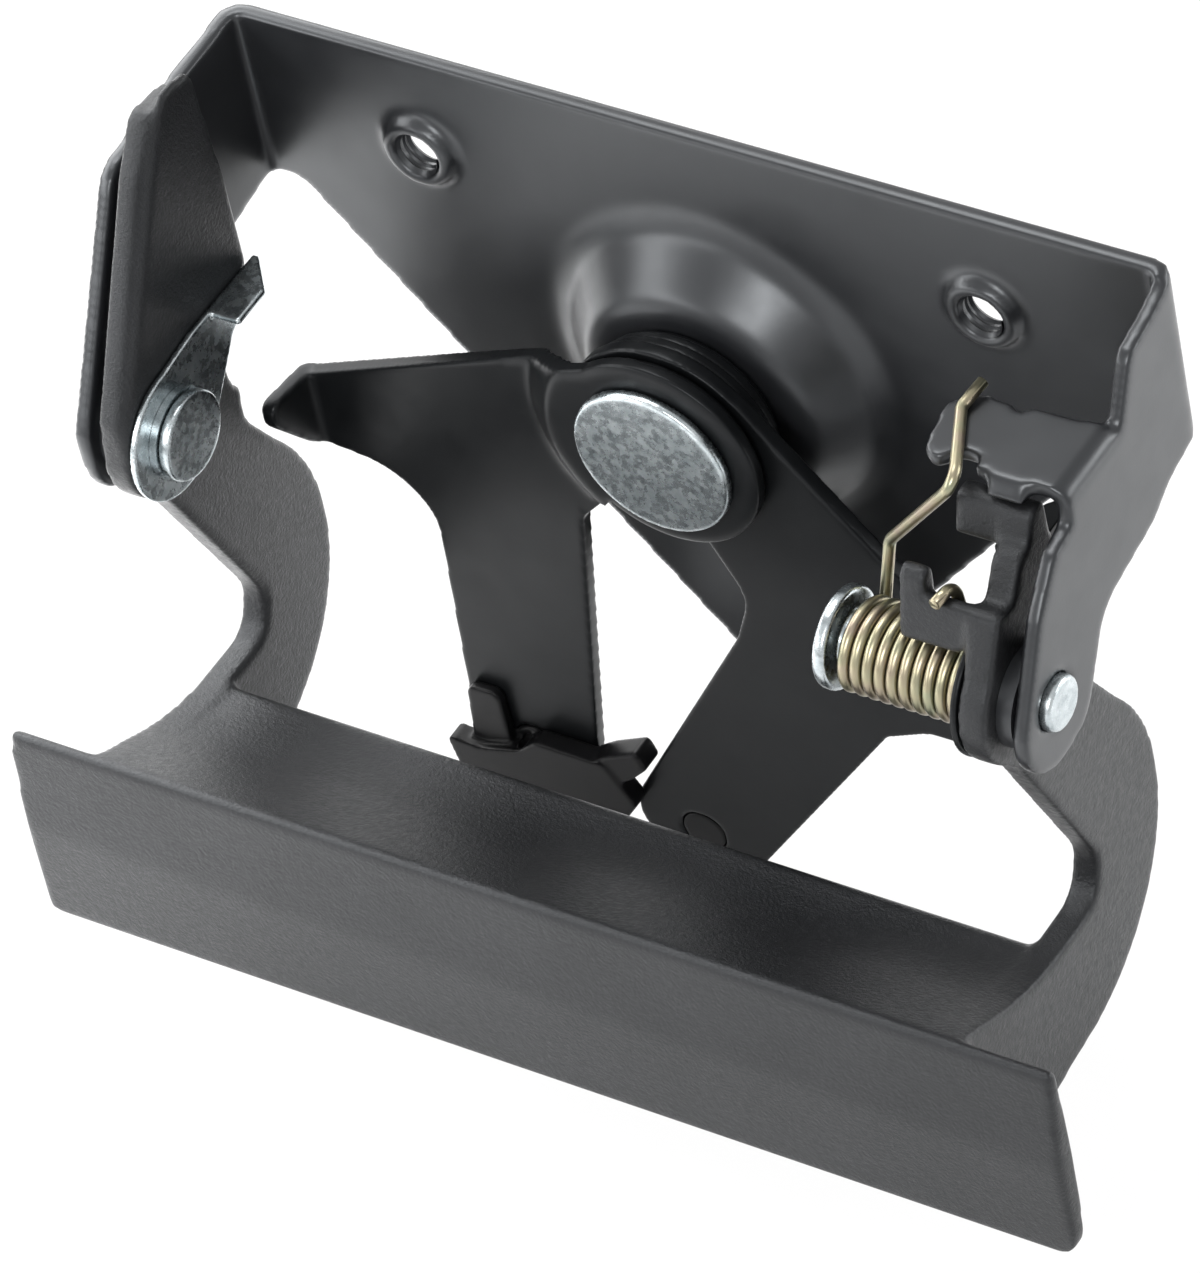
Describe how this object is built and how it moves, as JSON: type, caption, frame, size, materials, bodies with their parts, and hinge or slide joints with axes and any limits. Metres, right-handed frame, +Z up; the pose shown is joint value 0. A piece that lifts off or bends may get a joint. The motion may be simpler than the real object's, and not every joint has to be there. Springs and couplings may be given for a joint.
{
  "type": "tailgate handle",
  "caption": "Pull handle for a vehicle tailgate: cast lip on two arms, hinged in a sheet bracket, with a torsion spring and two bell cranks that work the latch rods.",
  "frame": {"origin": "midway between the two threaded holes, on the front face of the bracket's web", "axes": "+X to the right seen from outside the vehicle, +Y back into the tailgate, +Z up"},
  "size_m": [0.1683, 0.0738, 0.1418],
  "materials": {
    "black_coated_sheet": "satin",
    "black_coated_casting": "satin",
    "zinc_plate": "satin",
    "yellow_zinc_wire": "gloss",
    "black_washer": "satin",
    "black_plastic": "matte"
  },
  "bodies": {
    "bracket_body": {"bracket": "black_coated_sheet", "left_pivot_rivet": "zinc_plate", "right_pivot_pin": "zinc_plate", "left_head_washer": "zinc_plate", "left_gap_washer": "black_washer", "right_gap_washer": "black_washer", "crank_rivet": "zinc_plate", "crank_middle_washer": "black_washer", "crank_spacer": "black_washer", "crank_back_washer": "black_washer", "crank_seat_washer": "black_washer"},
    "handle_body": {"handle": "black_coated_casting", "left_lever": "zinc_plate", "right_lever": "zinc_plate", "return_spring": "yellow_zinc_wire"},
    "front_crank_body": {"front_crank": "black_coated_sheet", "front_rod_clip": "black_plastic"},
    "rear_crank_body": {"rear_crank": "black_coated_sheet", "rear_rod_clip": "black_plastic"}
  },
  "joints": [
    {"name": "handle_pivot", "type": "hinge", "parent": "bracket_body", "child": "handle_body", "pos_m": [0, -0.041, -0.024], "axis": [-1, 0, 0], "range_deg": [0, 25], "stiffness_Nm_per_rad": 0.27, "springref_deg": -45.84, "deforming": ["return_spring"]},
    {"name": "front_crank_pivot", "type": "hinge", "parent": "bracket_body", "child": "front_crank_body", "pos_m": [0, -0.018, -0.0257], "axis": [0, -1, 0], "range_deg": [-4, 0]},
    {"name": "rear_crank_pivot", "type": "hinge", "parent": "bracket_body", "child": "rear_crank_body", "pos_m": [0, -0.01445, -0.0257], "axis": [0, 1, 0], "range_deg": [-28, 0]}
  ]
}
